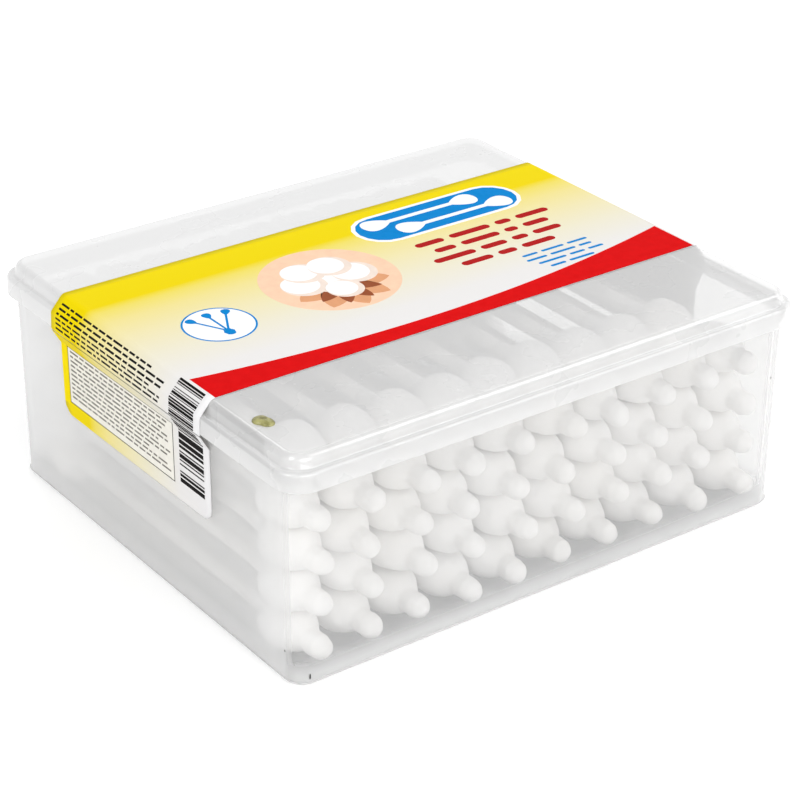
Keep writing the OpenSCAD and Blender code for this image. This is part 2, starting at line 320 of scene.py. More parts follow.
tubShell = skinPiece("tubShell", outlineRings(tubSection()), "tub", tubPlastic)
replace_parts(tubShell, "tub")
lidShell = skinPiece("lidShell", outlineRings(lidSection()), "lid", lidPlastic)
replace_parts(lidShell, "lid")
print("tub and lid made")

# Swabs: cotton heads and sticks, one piece of each for every layer

swabSet = {"stickR": 1.2, "bulbR": 4.1, "bulbHalf": 4.9, "bulbAt": 8.2, "nubR": 1.85, "tail": 3.2,
           "tailOver": 0.1, "blend": 0.9, "press": 0.65, "pressPower": 8,
           "windDepth": 0.035, "windPitch": 1.15, "windStart": 6, "droop": (0.5, 1.4), "bend": (0.6, 1.8),
           "tipPower": 1.5, "perLayer": 10, "layers": 5, "swayDeg": 0.28, "swayTurn": 137.5, "swayStart": 200,
           "along": 46, "around": 40, "seed": 11}
stickSet = {"intoCotton": 1.5, "endShare": 0.9, "endFrom": 0.999, "around": 24}
halfPressed = swabSet["bulbR"] - swabSet["press"]
headLen = swabSet["bulbAt"] + swabSet["bulbHalf"] + swabSet["tail"]

# Slow lumps in the cotton: waves along the head, waves round it, and their share of the radius
lumpWaves = ((0.35, 1, 0.03), (0.55, 2, 0.028), (0.9, 3, 0.022), (1.6, 4, 0.013), (2.3, 7, 0.007))


# Cotton radius at distance t from the tip: a round-ended nub, an elliptic bulb and a thin tail, each
# blended into the next where they come close to each other
def headRadius(t):
    nubR, bulbR, at, half = (swabSet[k] for k in ("nubR", "bulbR", "bulbAt", "bulbHalf"))
    nub = np.where(t < nubR, np.sqrt(np.maximum(0, nubR ** 2 - (nubR - t) ** 2)), nubR)
    u = np.abs(t - at) / half
    bulb = np.where(u < 1, bulbR * np.sqrt(np.maximum(0, 1 - u ** 2)), 2 * bulbR * (1 - u))
    w = np.clip((headLen - t) / (headLen - at), 0, 1)
    tail = swabSet["stickR"] + swabSet["tailOver"] + (nubR - swabSet["stickR"]) * w ** 2
    other = np.where(t < at, nub, tail)
    soft = np.maximum(swabSet["blend"] - np.abs(other - bulb), 0) ** 2 / (4 * swabSet["blend"])
    return np.minimum(np.maximum(other, bulb) + soft, bulbR)


# Heights squeezed smoothly to stay inside the limit, as cotton pressed by the next layer: the height over
# a root of one plus the same power of its share of the limit
def pressedZ(z, limit, onlyBelow):
    power = swabSet["pressPower"]
    flat = z / (1 + (np.abs(z) / limit) ** power) ** (1 / power)
    return np.where(z < 0, flat, z) if onlyBelow else flat


# Centre, half length and turn of each swab of a layer, from the boxes of its CAD nodes
def swabPlaces(layer):
    first = layer * swabSet["perLayer"] + 1
    names = [f"swab_{i:02d}" for i in range(first, first + swabSet["perLayer"])]
    names = [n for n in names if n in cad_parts]
    boxes = [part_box(n) for n in names]
    centre = np.array([[(a.x + b.x) / 2, (a.y + b.y) / 2, a.z + halfPressed * mm] for a, b in boxes]) / mm
    half = np.array([(b.y - a.y) / 2 for a, b in boxes]) / mm
    fade = np.sin(np.pi * np.arange(len(names)) / (swabSet["perLayer"] - 1))
    sway = np.radians((first + np.arange(len(names))) * swabSet["swayTurn"] + swabSet["swayStart"])
    turn = np.radians(swabSet["swayDeg"] * np.sin(sway) * fade)
    return names, centre, half, turn


# Local points turned about Z by each swab's own small angle, and moved to its centre
def placed(local, centre, turn):
    c, s = np.cos(turn)[:, None, None], np.sin(turn)[:, None, None]
    x, y, z = local[..., 0], local[..., 1], local[..., 2]
    return np.stack([c * x - s * y, s * x + c * y, z], -1) + centre[:, None, None, :]


# Faces for many equal tubes of rows x cols points: their sides and the two flat ends
def tubeFaces(count, rows, cols, flip):
    ends = [list(range(cols)), list(range((rows - 1) * cols, rows * cols))[::-1]]
    one = [*gridFaces(rows, cols, True)[:, ::-1].tolist(), *ends]
    if flip:
        one = [face[::-1] for face in one]
    return [[p + k * rows * cols for p in face] for k in range(count) for face in one]


# Both cotton heads of every swab of a layer. A head is its radius turned about the stick, with a few slow
# lumps and a fine spiral of winding added to the radius, and its soft tip hangs a little down and aside.
def cottonLayer(layer, random, material):
    names, centre, half, turn = swabPlaces(layer)
    along, around = swabSet["along"], swabSet["around"]
    t = headLen * (1 - np.cos(np.linspace(0, np.pi / 2, along)[1:]))[None, :, None]
    a = np.linspace(0, 2 * np.pi, around, endpoint=False)[None, None, :]
    points, faces = [], []
    for side in (-1, 1):
        r = headRadius(t)
        lumps = 0
        for wave, turns, size in lumpWaves:
            phase = random.uniform(0, 2 * np.pi, (2, len(names), 1, 1))
            way = random.choice([-1, 1], (len(names), 1, 1))
            ripple = np.sin(way * turns * a + wave * t + phase[0]) * np.cos(0.5 * wave * t + phase[1])
            lumps = lumps + size * ripple
        begin = random.uniform(0, swabSet["windStart"], (len(names), 1, 1))
        spiral = swabSet["windDepth"] * np.sin(a + 2 * np.pi * t / swabSet["windPitch"] + begin)
        edge = np.clip(r / swabSet["nubR"], 0, 1)
        r = np.minimum(r * (1 + lumps * edge) + spiral * edge, swabSet["bulbR"])
        z = pressedZ(r * np.sin(a), halfPressed, layer == swabSet["layers"] - 1)
        droop, bend = (random.uniform(*swabSet[k], (len(names), 1, 1)) for k in ("droop", "bend"))
        tip = np.clip(1 - t / swabSet["bulbAt"], 0, 1) ** swabSet["tipPower"]
        z, x = z - droop * tip, r * np.cos(a) - side * bend * tip
        y = side * (half[:, None, None] - t) + 0 * r
        local = placed(np.stack([x, y, z], -1), centre, turn)
        start = sum(len(p) for p in points)
        points.append(local.reshape(-1, 3))
        faces += [[p + start for p in face] for face in tubeFaces(len(names), along - 1, around, side > 0)]
    piece = makeMesh(f"cottonLayer{layer + 1}", np.concatenate(points), faces, "tub", material)
    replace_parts(piece, *names)


# The bare sticks between the heads: plain tubes, a little way into the cotton at both ends
def stickLayer(layer, material):
    names, centre, half, turn = swabPlaces(layer)
    inner, share, around = stickSet["endFrom"], stickSet["endShare"], stickSet["around"]
    ends = np.array([-1.0, -inner, inner, 1.0])[None, :, None]
    reach = (half - headLen + stickSet["intoCotton"])[:, None, None]
    a = np.linspace(0, 2 * np.pi, around, endpoint=False)[None, None, :]
    r = swabSet["stickR"] * np.array([share, 1, 1, share])[None, :, None] + 0 * reach
    local = placed(np.stack([r * np.cos(a), ends * reach + 0 * a, r * np.sin(a)], -1), centre, turn)
    faces = tubeFaces(len(names), 4, around, False)
    makeMesh(f"stickLayer{layer + 1}", local, faces, "tub", material)


# Wound cotton: white with a trace of cream that comes and goes, soft sheen and a fine fibre bump
def cottonMaterial():
    material, tree, shader = newMaterial(
        "woundCotton", Roughness=0.95, Sheen_Weight=0.3, Sheen_Roughness=0.6, Specular_IOR_Level=0.15)
    tint = noiseOn(tree, 60.0, 2.0)
    colour = addRamp(tree, tint.outputs["Fac"], ((0.3, shown(254, 253, 252)), (0.7, shown(252, 250, 247))))
    tree.links.new(colour, shader.inputs["Base Color"])
    addBump(tree, shader, noiseOn(tree, 1100.0, 5.0, (1, 0.35, 1)), 0.00012, 0.6)
    return material


# Smooth white plastic with a faint drawn grain along the stick
def stickMaterial():
    material, tree, shader = newMaterial(
        "stickPlastic", Base_Color=(*shown(250, 247, 243), 1), Roughness=0.35)
    addBump(tree, shader, noiseOn(tree, 300.0, 2.0, (1, 0.1, 1)), 0.00002, 0.5)
    return material


random = np.random.default_rng(swabSet["seed"])
cotton, stickPlastic = cottonMaterial(), stickMaterial()
for layer in range(swabSet["layers"]):
    cottonLayer(layer, random, cotton)
    stickLayer(layer, stickPlastic)
print("swabs made")

# Label: a paper strip over the lid and down both ends, slit along the skirt's lower edge

labelSet = {"glue": 0.03, "paper": 0.125, "slant": 2.8, "slit": 0.3, "cornerR": 2.0, "across": 30, "seed": 5,
            "low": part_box("label_top")[0].y / mm, "high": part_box("label_top")[1].y / mm,
            "foot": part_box("label_end_left")[0].z / mm}
paperTop = labelSet["glue"] + labelSet["paper"]


# Angle of the straight line that touches the shoulder's circle and the top edge's circle
def spanAngle():
    dx = browOff - lidSet["topR"] - (skirtOff - lidSet["shoulderR"])
    dz = topZ - lidSet["topR"] - (ledgeZ - lidSet["shoulderR"])
    between = math.acos((lidSet["shoulderR"] - lidSet["topR"]) / math.hypot(dx, dz))
    return math.degrees(math.atan2(dz, dx) - between)


# Half of the label's path over the lid, from the skirt's lower edge to the middle of the top
def lidPath(lift):
    a, shoulder, top = spanAngle(), lidSet["shoulderR"], lidSet["topR"]
    path = joined(
        (skirtOff + lidSet["flare"] + lift, skirtZ),
        arcPoints(skirtOff - shoulder, ledgeZ - shoulder, shoulder + lift, 0, a, 8),
        arcPoints(browOff - top, topZ - top, top + lift, a, 90, 10))
    path[:, 0] += halfX
    return refined(joined(path, (0.0, topZ + lift)), longest=1.2, hold=0.1)


# The label's path on the tub: in from the skirt's edge to a bend, and down the wall
def wallPath(lift):
    bend = skirtZ - labelSet["slant"]
    path = joined((skirtOff + lift, skirtZ - labelSet["slit"]), (bend * lean + lift, bend),
                  (labelSet["foot"] * lean + lift, labelSet["foot"]))
    path[:, 0] += halfX
    return refined(path, longest=1.0, hold=0.15)


# A sheet with both faces and its edges, from two rows x columns grids of points. Its inner face is
# unprinted paper.
def closedSheet(name, outer, inner, body, printed, bare):
    rows, cols = outer.shape[:2]
    count = rows * cols
    top, under = gridFaces(rows, cols, False), gridFaces(rows, cols, False, count)[:, ::-1]
    index = np.arange(count).reshape(rows, cols)
    rim = np.concatenate([index[0], index[1:, -1], index[-1, -2::-1], index[-2:0:-1, 0]])
    edge = np.stack([rim, rim + count, np.roll(rim, -1) + count, np.roll(rim, -1)], -1)
    points = np.concatenate([outer.reshape(-1, 3), inner.reshape(-1, 3)])
    piece = makeMesh(name, points, [*top, *under, *edge], body, printed)
    piece.data.materials.append(bare)
    piece.data.polygons.foreach_set("material_index", [0] * len(top) + [1] * len(under) + [0] * len(edge))
    return piece


# The whole stretch over the lid: the path and its mirror image, drawn out along Y
def labelTopPiece(printed, bare):
    y = np.linspace(labelSet["high"], labelSet["low"], labelSet["across"])[None, :]
    grids = []
    for lift in (paperTop, labelSet["glue"]):
        half = lidPath(lift)
        path = np.concatenate([half * (-1, 1), half[-2::-1]])
        grids.append(np.stack([path[:, :1] + 0 * y, y + 0 * path[:, :1], path[:, 1:] + 0 * y], -1))
    return closedSheet("labelTop", grids[0], grids[1], "lid", printed, bare)


# An end stretch: its edges draw in along a quarter circle at the two lower corners
def labelEndPiece(name, side, printed, bare):
    grids = []
    t = np.linspace(0, 1, labelSet["across"])[None, :]
    for lift in (paperTop, labelSet["glue"]):
        path = wallPath(lift)
        rise = np.clip(path[:, 1] - labelSet["foot"], 0, labelSet["cornerR"])
        inset = labelSet["cornerR"] - np.sqrt(np.maximum(0, rise * (2 * labelSet["cornerR"] - rise)))
        y = (labelSet["low"] + inset)[:, None] * (1 - t) + (labelSet["high"] - inset)[:, None] * t
        grid = np.stack([side * path[:, :1] + 0 * t, y, path[:, 1:] + 0 * t], -1)
        grids.append(grid[:, ::-1] if side > 0 else grid)
    return closedSheet(name, grids[0], grids[1], "tub", printed, bare)


# Coated paper whose colour runs from yellow at the back edge through cream to a warm white, along Y
def paperMaterial():
    material, tree, shader = newMaterial("printedPaper", Roughness=0.5, Specular_IOR_Level=0.03)
    level = mapped(tree, objectPlace(tree)["Y"], (0.0, 1.0), metres((labelSet["high"], labelSet["low"])))
    colour = addRamp(tree, level, (
        (0.0, shown(241, 218, 0)), (0.175, shown(240, 215, 0)), (0.225, shown(240, 223, 110)),
        (0.31, shown(240, 226, 150)), (0.44, shown(239, 229, 181)), (0.62, shown(236, 231, 210)),
        (0.8, shown(234, 232, 230)), (1.0, shown(234, 233, 234))))
    tree.links.new(colour, shader.inputs["Base Color"])
    addBump(tree, shader, noiseOn(tree, 220.0, 3.0), 0.00003, 0.5)
    return material


# The label's back: white paper with a faint unevenness
def bareMaterial():
    material, tree, shader = newMaterial("barePaper", Roughness=0.7, Specular_IOR_Level=0.1)
    mottle = noiseOn(tree, 260.0, 3.0)
    colour = addRamp(tree, mottle.outputs["Fac"], ((0.3, shown(250, 249, 247)), (0.7, shown(245, 244, 241))))
    tree.links.new(colour, shader.inputs["Base Color"])
    addBump(tree, shader, mottle, 0.00002, 0.5)
    return material


papers = paperMaterial(), bareMaterial()
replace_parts(labelTopPiece(*papers), "label_top")
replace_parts(labelEndPiece("labelEndLeft", -1, *papers), "label_end_left")
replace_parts(labelEndPiece("labelEndRight", 1, *papers), "label_end_right")
print("label made")

# Print on the label: flat shapes of ink, each a thin closed plate that stands a hair out of the paper

inkSet = {"sunk": 0.05, "proud": 0.012, "step": 0.004, "near": 0.02}
inkColours = {
    "Red": shown(216, 7, 11), "Blue": shown(8, 132, 206), "White": shown(250, 250, 250),
    "Peach": shown(247, 208, 178), "Tan": shown(222, 160, 118), "Brown": shown(150, 82, 52),
    "Shade": shown(240, 224, 212), "DarkRed": shown(176, 28, 30), "Black": shown(28, 26, 26),
    "Grey": shown(120, 116, 110), "Panel": shown(238, 235, 226), "Yellow": shown(244, 220, 4)}


# Ink: its colour with a faint unevenness
def inkMaterial(name, colour):
    material, tree, shader = newMaterial(f"ink{name}", Roughness=0.55, Specular_IOR_Level=0.02)
    paler = tuple(min(1.0, c * 1.06 + 0.001) for c in colour)
    shade = addRamp(tree, noiseOn(tree, 700.0, 2.0).outputs["Fac"], ((0.35, colour), (0.65, paler)))
    tree.links.new(shade, shader.inputs["Base Color"])
    addBump(tree, shader, noiseOn(tree, 220.0, 3.0), 0.00003, 0.5)
    return material


inks = {name: inkMaterial(name, colour) for name, colour in inkColours.items()}


# Thin closed plates from outlines: each is (points under, points over), the same count in both
def inkPiece(name, plates, body, ink):
    points, faces, start = [], [], 0
    for under, over in plates:
        n = len(under)
        points += [under, over]
        faces.append([start + i for i in reversed(range(n))])
        faces.append([start + n + i for i in range(n)])
        faces += gridFaces(2, n, True, start).tolist()
        start += 2 * n
    return makeMesh(name, np.concatenate(points), faces, body, inks[ink], smooth=False)


# An outline in X and Y, counterclockwise, as a plate on the label's flat top, in layer order
def onTop(outline, order=0):
    outline = np.asarray(outline, float)
    levels = (topZ + paperTop - inkSet["sunk"], topZ + paperTop + inkSet["proud"] + order * inkSet["step"])
    return tuple(np.concatenate([outline, np.full((len(outline), 1), z)], 1) for z in levels)


# A circle's outline round a centre
def disc(x, y, r, steps=48):
    return arcPoints(x, y, r, 0, 360, steps)[:-1]


# A bar with round ends, from x0 to x1
def bar(x0, x1, y, height):
    r = height / 2
    return joined(arcPoints(x1 - r, y, r, -90, 90, 8), arcPoints(x0 + r, y, r, 90, 270, 8))


# An outline turned by an angle and moved
def turned(outline, x, y, angle):
    c, s = math.cos(math.radians(angle)), math.sin(math.radians(angle))
    return np.asarray(outline) @ np.array([[c, s], [-s, c]]) + (x, y)


# A leaf: its half-width is w times a power of the sine of pi t, with t from 0 to 1 along it
def leaf(length, w, steps=14):
    t = np.linspace(0, 1, steps)
    side = np.stack([length * t, w * np.sin(np.pi * t) ** 0.8], -1)
    return joined(side * (1, -1), side[-2:0:-1])


drawnSet = {"head": 0.24, "stick": 0.017, "swell": 0.068, "fullness": 0.62, "bluntness": 0.75,
            "from": 0.004, "steps": 26}


# A drawn swab of the given length, centred: a thin stick whose ends swell into slim teardrop heads. The
# half-width of a head is a power of the sine of pi times a power of t, and the stick's at the least.
def drawnSwab(length, plump):
    head, stick, swell = (drawnSet[k] * length for k in ("head", "stick", "swell"))
    t = np.linspace(drawnSet["from"], 1, drawnSet["steps"])
    r = swell * plump * np.sin(np.pi * t ** drawnSet["fullness"]) ** drawnSet["bluntness"]
    r = np.maximum(r, stick * plump * np.clip(t * 8, 0, 1))
    x = length / 2 - t * head
    upper = joined(np.stack([x, r], -1), np.stack([-x, r], -1)[::-1])
    return joined(upper[::-1] * (1, -1), upper)[::-1]


# The stripe on the flat top, between the front edge and a wide hollow arc
def stripeOutline(width, radius, lowestX):
    x = np.linspace(flatX, -flatX, 60)
    y = labelSet["low"] + width + radius - np.sqrt(radius ** 2 - (x - lowestX) ** 2)
    front = np.stack([np.array([-flatX, flatX]), np.full(2, labelSet["low"])], -1)
    return joined(front, np.stack([x, y], -1))


# The print on top. Stripe: width, radius and lowest place. Plaque: centre, length and height. Badge:
# centre and radius. Swabs: length, which is a share of the plaque's there, plumpness, then places or
# angles. Leaves: ink, how far they sit below the boll's centre, length, half-width and angles. Puffs:
# place from the boll's centre, and radius.
topPrint = {
    "stripe": (3.4, 225.0, -6.0), "plaque": (19.4, 15.0, 31.0, 9.2), "plaqueRim": 0.7,
    "plaqueSwabs": (0.74, 1.3, ((-2.2, 1.9), (2.2, -1.9))),
    "badge": (-32.0, 0.6, 5.75), "badgeRing": 0.32, "badgeSwabs": (8.4, 1.3, (62, 90, 118)),
    "badgeSpread": (1.5, 0.2), "boll": (-9.5, 3.2), "bollDisc": (1.0, 11.2),
    "leaves": (("Tan", 1.0, 8.6, 2.3, (195, 232, 270, 308, 345)),
               ("Brown", 1.6, 6.6, 1.3, (213, 251, 289, 327))),
    "puffs": ((0, 0.6, 4.4), (-4.6, 1.2, 3.7), (4.6, 1.0, 3.7), (-2.4, 5.0, 3.5), (2.6, 4.9, 3.5),
              (0, -3.2, 3.0)),
    "puffLight": (-0.12, 0.14, 0.84)}

# Blocks of word-like bars: ink, height of the first row, pitch, bar height and gap, and for each row its
# left end and the lengths of its words
wordBlocks = (
    ("DarkRed", 6.2, 3.2, 1.45, 1.3,
     ((8.5, (5.5, 8, 3, 6.5)), (10.0, (4, 7.5, 2.5, 5)), (7.5, (8, 5, 3, 5.5)), (10.5, (6, 3.5, 6.5)))),
    ("Blue", -6.6, 1.75, 0.6, 0.8,
     ((20.0, (3, 4.5, 4)), (19.5, (4, 5, 2.5)), (20.5, (5.5, 3, 3)), (21.5, (3, 5)))))


# All the plates on top, gathered by ink, and one piece for each ink
def printTop():
    plates = {name: [] for name in inkColours}
    plates["Red"].append(onTop(stripeOutline(*topPrint["stripe"])))
    x, y, length, height = topPrint["plaque"]
    rim = topPrint["plaqueRim"]
    plates["White"].append(onTop(bar(x - length / 2 - rim, x + length / 2 + rim, y, height + 2 * rim)))
    plates["Blue"].append(onTop(bar(x - length / 2, x + length / 2, y, height), 1))
    share, plump, places = topPrint["plaqueSwabs"]
    for dx, dy in places:
        plates["White"].append(onTop(turned(drawnSwab(length * share, plump), x + dx, y + dy, 0), 2))
    x, y, r = topPrint["badge"]
    plates["Blue"].append(onTop(disc(x, y, r)))
    plates["White"].append(onTop(disc(x, y, r - topPrint["badgeRing"]), 1))
    length, plump, angles = topPrint["badgeSwabs"]
    apart, rise = topPrint["badgeSpread"]
    for k, angle in enumerate(angles):
        outline = turned(drawnSwab(length, plump), x + apart * (1 - k), y + rise, angle)
        plates["Blue"].append(onTop(outline, 2 + k))
    x, y = topPrint["boll"]
    rise, r = topPrint["bollDisc"]
    plates["Peach"].append(onTop(disc(x, y + rise, r, 72)))
    for order, (ink, drop, length, halfWide, angles) in enumerate(topPrint["leaves"], 1):
        for angle in angles:
            plates[ink].append(onTop(turned(leaf(length, halfWide), x, y - drop, angle), order))
    lightX, lightY, lightR = topPrint["puffLight"]
    for k, (dx, dy, r) in enumerate(topPrint["puffs"]):
        plates["Shade"].append(onTop(disc(x + dx, y + dy, r), 3 + 2 * k))
        plates["White"].append(onTop(disc(x + dx + lightX * r, y + dy + lightY * r, lightR * r), 4 + 2 * k))
    for ink, y, pitch, height, gap, rows in wordBlocks:
        for row, (left, words) in enumerate(rows):
            for word in words:
                plates[ink].append(onTop(bar(left, left + word, y - pitch * row, height)))
                left += word + gap
    for name, made in plates.items():
        if made:
            inkPiece(f"printTop{name}", made, "lid", name)


# A strip on the left end, from s0 to s1 along one of the label's paths and from y0 to y1. Both of its
# levels follow the path at right angles, so that it bends with the paper.
def onEnd(path, s0, s1, y0, y1, order=0):
    length = np.concatenate([[0], np.cumsum(np.linalg.norm(np.diff(path, axis=0), axis=1))])
    s = np.array([s0, *length[(length > s0 + 0.01) & (length < s1 - 0.01)], s1])
    near = inkSet["near"]
    at, ahead, behind = (np.stack([np.interp(s + d, length, path[:, k]) for k in (0, 1)], -1)
                         for d in (0, near, -near))
    along = (ahead - behind) / np.linalg.norm(ahead - behind, axis=1)[:, None]
    out = np.stack([along[:, 1], -along[:, 0]], -1)
    out *= np.sign(out[:, :1] + 1e-9)
    levels = []
    for lift in (-inkSet["sunk"], inkSet["proud"] + order * inkSet["step"]):
        p = at + out * lift
        a, b = (np.stack([-p[:, 0], np.full(len(s), y), p[:, 1]], -1) for y in (y0, y1))
        levels.append((a, b))
    return levels


# Closed strips from such levels: a grid of two columns for each level, joined round the edge
def stripPiece(name, strips, body, ink):
    points, faces, start = [], [], 0
    for (a0, b0), (a1, b1) in strips:
        n = len(a0)
        points += [a0, b0, b1, a1]
        i, ring = np.arange(n - 1)[:, None], np.arange(4) * n + start
        after = np.roll(ring, -1)
        quads = np.stack([ring + i, after + i, after + i + 1, ring + i + 1], -1).reshape(-1, 4)
        down = a1[0, 2] > a1[-1, 2]
        faces += (quads[:, ::-1] if down else quads).tolist()
        first, last = ring.tolist(), (ring + n - 1).tolist()
        faces += [first, last[::-1]] if down else [first[::-1], last]
        start += 4 * n
    return makeMesh(name, np.concatenate(points), faces, body, inks[ink], smooth=False)


# Lines of print on the left end: rows of word-like bars, a framed panel, and two stacks of plain bars
# of changing width near the front edge, one on the skirt and one on the wall. Distances down the end are
# counted along the label from the start of its stretch, and those across from its edges or the bars,
# whose own two ends are places along Y.
endPrint = {"lines": 6, "linePitch": 0.82, "lineHeight": 0.34, "linesFrom": 0.5, "linesBack": 1.4,
            "linesFront": 2.2, "barsFrom": -10.6, "barsTo": -17.2,
            "skirtBars": (0.1, 0.4), "wallBars": (0.4, 3.0),
            "panelTop": 2.6, "panelFoot": 2.4, "panelBack": 1.9, "panelFront": 1.6, "panelFrame": 0.16,
            "panelPitch": 0.78, "panelHeight": 0.3, "panelInset": (0.6, 0.8),
            "stripe": 1.5, "stripeFrom": 0.3, "stripeFoot": 2.0, "stripeIn": 0.02}
barWidths = (2, 1, 3, 1, 1, 2, 1, 1, 4, 1, 3, 1, 2, 2, 1, 1, 3, 1, 1, 2, 1, 4, 1, 1, 2, 1, 3, 1)
wordSet = {"word": (0.7, 2.6), "gap": 0.42, "least": 0.6,
           "ragged": (0, 1), "shortLine": (0.5, 6), "shortEvery": 3}


# Rows of bars like words, from y0 down to about y1, where every third row ends early
def wordRows(random, path, s0, pitch, height, count, y0, y1, order):
    strips = []
    for row in range(count):
        short = row % wordSet["shortEvery"] == wordSet["shortEvery"] - 1
        y, end = y0, y1 + random.uniform(*wordSet["shortLine" if short else "ragged"])
        while y > end + wordSet["least"]:
            word = min(random.uniform(*wordSet["word"]), y - end)
            strips.append(onEnd(path, s0 + row * pitch, s0 + row * pitch + height, y - word, y, order))
            y -= word + wordSet["gap"]
    return strips


# Every other bar of the made-up widths, from s0 to s1
def barStack(path, s0, s1, y0, y1):
    unit = (s1 - s0) / sum(barWidths)
    strips, s = [], s0
    for k, width in enumerate(barWidths):
        if k % 2 == 0:
            strips.append(onEnd(path, s, s + width * unit, y0, y1, 1))
        s += width * unit
    return strips


# The print on the left end, on the skirt and on the wall below it
def printEnd(random):
    look = endPrint
    skirt, wall = lidPath(paperTop), wallPath(paperTop)
    skirt = skirt[:int(np.argmax(skirt[:, 1] >= topZ + paperTop - 0.001)) + 1]
    skirtLen, wallLen = (np.linalg.norm(np.diff(p, axis=0), axis=1).sum() for p in (skirt, wall))
    high, barsFrom, barsTo = labelSet["high"], look["barsFrom"], look["barsTo"]
    stripPiece("printSkirtLines", wordRows(
        random, skirt, look["linesFrom"], look["linePitch"], look["lineHeight"], look["lines"],
        high - look["linesBack"], barsFrom + look["linesFront"], 0), "lid", "Black")
    first, last = look["skirtBars"]
    stripPiece("printSkirtBars", barStack(skirt, first, skirtLen - last, barsTo, barsFrom), "lid", "Black")
    first, last = look["wallBars"]
    stripPiece("printWallBars", barStack(wall, first, wallLen - last, barsTo, barsFrom), "tub", "Black")
    rim, top, bottom = look["panelFrame"], look["panelTop"], wallLen - look["panelFoot"]
    left, right = high - look["panelBack"], barsFrom + look["panelFront"]
    stripPiece("printPanelRim", [onEnd(wall, top, bottom, right, left)], "tub", "Black")
    panel = onEnd(wall, top + rim, bottom - rim, right + rim, left - rim, 1)
    stripPiece("printPanel", [panel], "tub", "Panel")
    pitch, (down, aside) = look["panelPitch"], look["panelInset"]
    rows = int((bottom - top - 2 * down) / pitch)
    stripPiece("printPanelLines", wordRows(
        random, wall, top + down, pitch, look["panelHeight"], rows,
        left - aside, right + aside, 2), "tub", "Grey")
    edge = onEnd(wall, look["stripeFrom"], wallLen - look["stripeFoot"], high - look["stripe"],
                 high - look["stripeIn"])
    stripPiece("printWallEdge", [edge], "tub", "Yellow")


printTop()
printEnd(np.random.default_rng(labelSet["seed"]))
print("print made")

# A drop of hardened glue: two round lobes under one smooth skin

glueSet = {"r": 1.3, "height": 0.7, "inset": 1.5, "back": 10.8, "second": (0.35, -0.95), "secondR": 0.85,
           "middle": (0.15, -0.45), "waist": 6, "shrink": 0.94, "ripple": (0.1, 0.12), "sunk": 0.05,
           "rings": 14, "around": 56}


# Reach of the two lobes' union from between them, in each direction, with the waist softened. The
# height falls from the middle to the rim as the root of one less the square of the share of the reach.
def gluePiece():
    r, small = glueSet["r"], glueSet["secondR"] * glueSet["r"]
    x0, y0 = glueSet["inset"] - flatX, glueSet["back"] - flatY
    (dx, dy), (mx, my) = glueSet["second"], glueSet["middle"]
    centre = np.array([x0 + mx * r, y0 + my * r])
    a = np.linspace(0, 2 * np.pi, glueSet["around"], endpoint=False)
    way = np.stack([np.cos(a), np.sin(a)], -1)
    reach = []
    for lobe, size in (((x0, y0), r), ((x0 + dx * r, y0 + dy * r), small)):
        to = np.array(lobe) - centre
        along = way @ to
        reach.append(along + np.sqrt(np.maximum(along ** 2 - to @ to + size ** 2, 0.04)))
    power, (wavy, lopsided) = glueSet["waist"], glueSet["ripple"]
    edge = (reach[0] ** power + reach[1] ** power) ** (1 / power) * glueSet["shrink"]
    share = np.sin(np.linspace(0, np.pi / 2, glueSet["rings"] + 1)[1:])[::-1, None]
    bumps = 1 + wavy * np.sin(3 * a + 4 * share) * (1 - share) + lopsided * np.cos(a - 2.6) * share
    z = topZ + glueSet["height"] * np.sqrt(np.maximum(0, 1 - share ** 2)) * np.minimum(bumps, 1.0)
    x, y = (centre[k] + edge * share * way[:, k] for k in (0, 1))
    rings = np.stack([x, y, z + 0 * edge], -1)
    rings = np.concatenate([rings[:1] - (0, 0, glueSet["sunk"]), rings])
    return skinPiece("glueDrop", rings, "lid", glueMaterial())


# Old glue: olive amber, cloudy, darker in patches
def glueMaterial():
    material, tree, shader = newMaterial("oldGlue", Roughness=0.22, IOR=1.5, Transmission_Weight=0.25)
    patches = noiseOn(tree, 900.0, 3.0)
    colour = addRamp(tree, patches.outputs["Fac"], ((0.35, shown(128, 124, 62)), (0.6, shown(186, 182, 116))))
    tree.links.new(colour, shader.inputs["Base Color"])
    addBump(tree, shader, patches, 0.0001, 0.6)
    return material


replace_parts(gluePiece(), "glue_spot")

# Small dark flecks on the walls: place, the wall they lie on, and half sizes along the wall and up. Their
# depth is a share of their width.
flecks = (((-43.7, 1.7), "front", 0.14, 0.5), ((-36.9, 5.4), "left", 0.16, 0.16),
          ((43.3, 23.2), "front", 0.16, 0.12))
fleckDepth = 0.25


# A flattened ball on the wall: cosine and sine of two angles
def fleckPiece(number, place, wall, halfWide, halfHigh, material):
    u = np.linspace(-np.pi / 2, np.pi / 2, 9)[1:-1][:, None]
    v = np.linspace(0, 2 * np.pi, 16, endpoint=False)[None, :]
    wide, high = halfWide * np.cos(u) * np.cos(v), halfHigh * np.sin(u) + 0 * v
    deep = fleckDepth * halfWide * np.cos(u) * np.sin(v)
    along, up = place
    out = (halfY if wall == "front" else halfX) + up * lean
    if wall == "front":
        rings = np.stack([along + wide, -out + deep, up + high], -1)
    else:
        rings = np.stack([-out - deep, along + wide, up + high], -1)
    return skinPiece(f"fleck{number}", rings, "tub", material)


# Dark specks, uneven from near black to a dark grey
def speckMaterial():
    material, tree, shader = newMaterial("darkSpeck", Roughness=0.6)
    mottle = noiseOn(tree, 2000.0).outputs["Fac"]
    colour = addRamp(tree, mottle, ((0.3, shown(20, 20, 20)), (0.7, shown(60, 58, 56))))
    tree.links.new(colour, shader.inputs["Base Color"])
    return material


darkSpeck = speckMaterial()
for number, fleck in enumerate(flecks, 1):
    fleckPiece(number, *fleck, darkSpeck)
print("glue and flecks made")

# Stage, lights and camera

